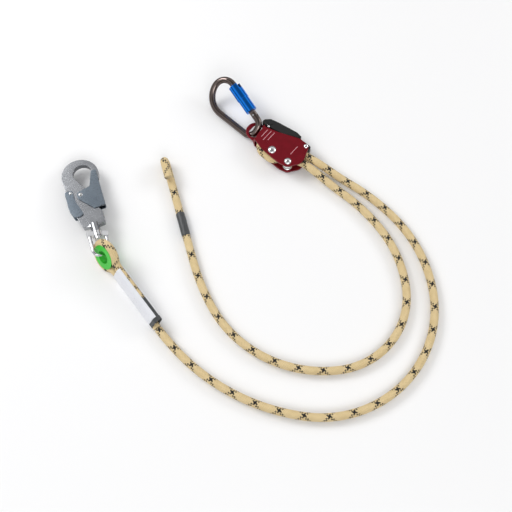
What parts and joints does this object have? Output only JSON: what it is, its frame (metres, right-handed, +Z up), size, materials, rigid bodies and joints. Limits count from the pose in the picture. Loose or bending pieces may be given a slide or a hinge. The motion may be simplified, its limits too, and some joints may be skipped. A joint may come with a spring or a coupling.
{
  "type": "rope grab",
  "caption": "Adjustable work-positioning lanyard: a plate-bodied rope grab with cam and release lever, a carabiner in its eye, and a rope with a swivel snap hook.",
  "frame": {"origin": "on the resting surface, under the axis of the cam axle", "axes": "+X along the grab towards the rope exit, +Y towards the release lever, +Z up from the resting surface"},
  "size_m": [0.6292, 0.406, 0.0506],
  "materials": {
    "red_anodised": "deep red anodised, satin",
    "bright_steel": "bright turned steel",
    "cam_steel": "machined steel",
    "bronze": "sintered bronze",
    "spring_steel": "drawn spring wire",
    "black_grip": "near-black moulded grip",
    "dark_sheet": "blackened sheet steel",
    "rope": "braided tan sheath with black tracers",
    "thread": "tan stitching thread",
    "black_shrink": "heat-shrunk tube",
    "label": "white sleeve, soft gloss",
    "green_thimble": "bright green moulded",
    "gunmetal": "polished dark gunmetal",
    "blue_anodised": "bright blue anodised, turned",
    "polished_steel": "polished steel",
    "zinc_forging": "zinc-plated forging",
    "zinc_sheet": "zinc-plated sheet"
  },
  "bodies": {
    "grab_frame": {"rear_plate": "red_anodised", "front_plate": "red_anodised", "cam_axle": "bright_steel", "brake_pin": "bright_steel", "brake_spool": "bright_steel", "cam_washers": "bright_steel", "lever_pin": "bright_steel", "rope_bight": "rope"},
    "cam": {"cam": "cam_steel", "cam_bush": "bronze", "cam_spring": "spring_steel", "cam_drive_pin": "bright_steel"},
    "release_lever": {"release_lever": "black_grip", "lever_plate": "dark_sheet", "lever_rivet": "bright_steel"},
    "hook_leg": {"rope_hook_leg": "rope", "rope_eye": "rope", "thimble": "green_thimble", "eye_stitching": "thread", "eye_shrink": "black_shrink", "label_sleeve": "label"},
    "tail_leg": {"rope_tail_leg": "rope", "tail_stub": "rope", "tail_shrink": "black_shrink", "tail_stitching": "thread"},
    "carabiner": {"carabiner_body": "gunmetal", "gate_hinge_pin": "spring_steel"},
    "carabiner_gate": {"carabiner_gate": "gunmetal", "gate_plunger": "spring_steel", "sleeve_spring": "spring_steel"},
    "locking_sleeve": {"locking_sleeve": "blue_anodised"},
    "swivel_bail": {"swivel_bail": "polished_steel", "swivel_washer": "polished_steel"},
    "snap_hook": {"hook_body": "zinc_forging", "swivel_stud": "polished_steel", "hook_gate_pin": "polished_steel", "lock_lever_pin": "polished_steel"},
    "hook_gate": {"hook_gate": "zinc_sheet", "hook_gate_spring": "spring_steel"},
    "lock_lever": {"lock_lever": "zinc_sheet"}
  },
  "joints": [
    {"name": "lever_release", "type": "hinge", "parent": "grab_frame", "child": "release_lever", "pos_m": [0.0376, 0.0397, 0.014], "axis": [0, 0, 1], "range_deg": [-6, 0]},
    {"name": "cam_turn", "type": "hinge", "parent": "grab_frame", "child": "cam", "pos_m": [0, 0, 0.014], "axis": [0, 0, 1], "range_deg": [0, 16.8]},
    {"name": "hook_leg_swing", "type": "hinge", "parent": "grab_frame", "child": "hook_leg", "pos_m": [0.052, 0.03167, 0.014], "axis": [0, 0, 1], "range_deg": [-1, 10]},
    {"name": "tail_leg_swing", "type": "hinge", "parent": "grab_frame", "child": "tail_leg", "pos_m": [0.052, 0.01797, 0.014], "axis": [0, 0, 1], "range_deg": [-8, 1]},
    {"name": "carabiner_swing", "type": "hinge", "parent": "grab_frame", "child": "carabiner", "pos_m": [-0.045, 0.0132, 0.014], "axis": [0, 0, 1], "range_deg": [-1.5, 3]},
    {"name": "carabiner_gate_hinge", "type": "hinge", "parent": "carabiner", "child": "carabiner_gate", "pos_m": [-0.06164, 0.02975, 0.02647], "axis": [-0.0215, -0.6153, 0.788], "range_deg": [0, 18]},
    {"name": "sleeve_twist", "type": "hinge", "parent": "carabiner_gate", "child": "locking_sleeve", "pos_m": [-0.05405, 0.02764, 0.02503], "axis": [-0.9477, 0.2636, 0.18], "range_deg": [0, 90]},
    {"name": "bail_hinge", "type": "hinge", "parent": "hook_leg", "child": "swivel_bail", "pos_m": [-0.07608, -0.30275, 0.02529], "axis": [-0.1527, -0.8867, 0.4364], "range_deg": [-3, 3]},
    {"name": "hook_swivel", "type": "hinge", "parent": "swivel_bail", "child": "snap_hook", "pos_m": [-0.08109, -0.30481, 0.02725], "axis": [-0.8455, 0.5284, -0.0767], "range_deg": [-20, 20]},
    {"name": "hook_gate_hinge", "type": "hinge", "parent": "snap_hook", "child": "hook_gate", "pos_m": [-0.17819, -0.2538, 0.01884], "axis": [-0.0651, 0.0407, 0.9971], "range_deg": [0, 14]},
    {"name": "lock_lever_hinge", "type": "hinge", "parent": "snap_hook", "child": "lock_lever", "pos_m": [-0.1916, -0.26228, 0.01831], "axis": [-0.0651, 0.0407, 0.9971], "range_deg": [-6, 0]}
  ],
  "couplings": [
    {"joint": "cam_turn", "follows": "lever_release", "ratio": -2.8}
  ]
}
